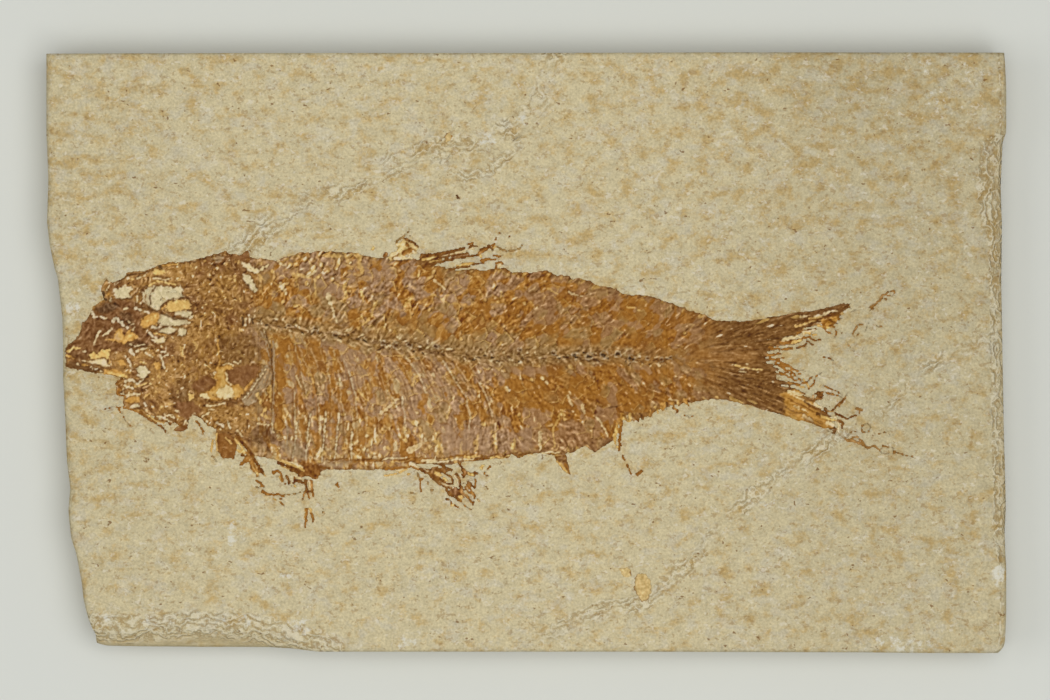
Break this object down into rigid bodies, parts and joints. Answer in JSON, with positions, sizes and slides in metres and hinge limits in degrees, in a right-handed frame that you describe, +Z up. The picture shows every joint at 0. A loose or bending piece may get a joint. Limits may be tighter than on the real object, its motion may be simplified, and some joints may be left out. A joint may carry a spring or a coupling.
{
  "type": "fossil fish slab",
  "caption": "Flat slab of buff limestone with a whole herring-like fossil fish bedded in its face in low relief, from snout to forked tail, and a loose scale beside it.",
  "frame": {"origin": "middle of the slab's flat underside", "axes": "+X along the slab, from the fish's snout towards its tail; +Y across it, from the belly towards the back; +Z up out of the face that carries the fossil"},
  "size_m": [0.1442, 0.0902, 0.0109],
  "materials": {
    "limestone": "matt buff limestone, split face, finely mottled and speckled",
    "fossil_bone": "brown fossil bone and scales, satin, mottled from near black to gold",
    "fossil_scale": "amber fossil scale, satin, with a dark rim"
  },
  "bodies": {
    "root": {"limestone_slab": "limestone", "fossil_fish": "fossil_bone", "stray_scale": "fossil_scale"}
  },
  "joints": []
}
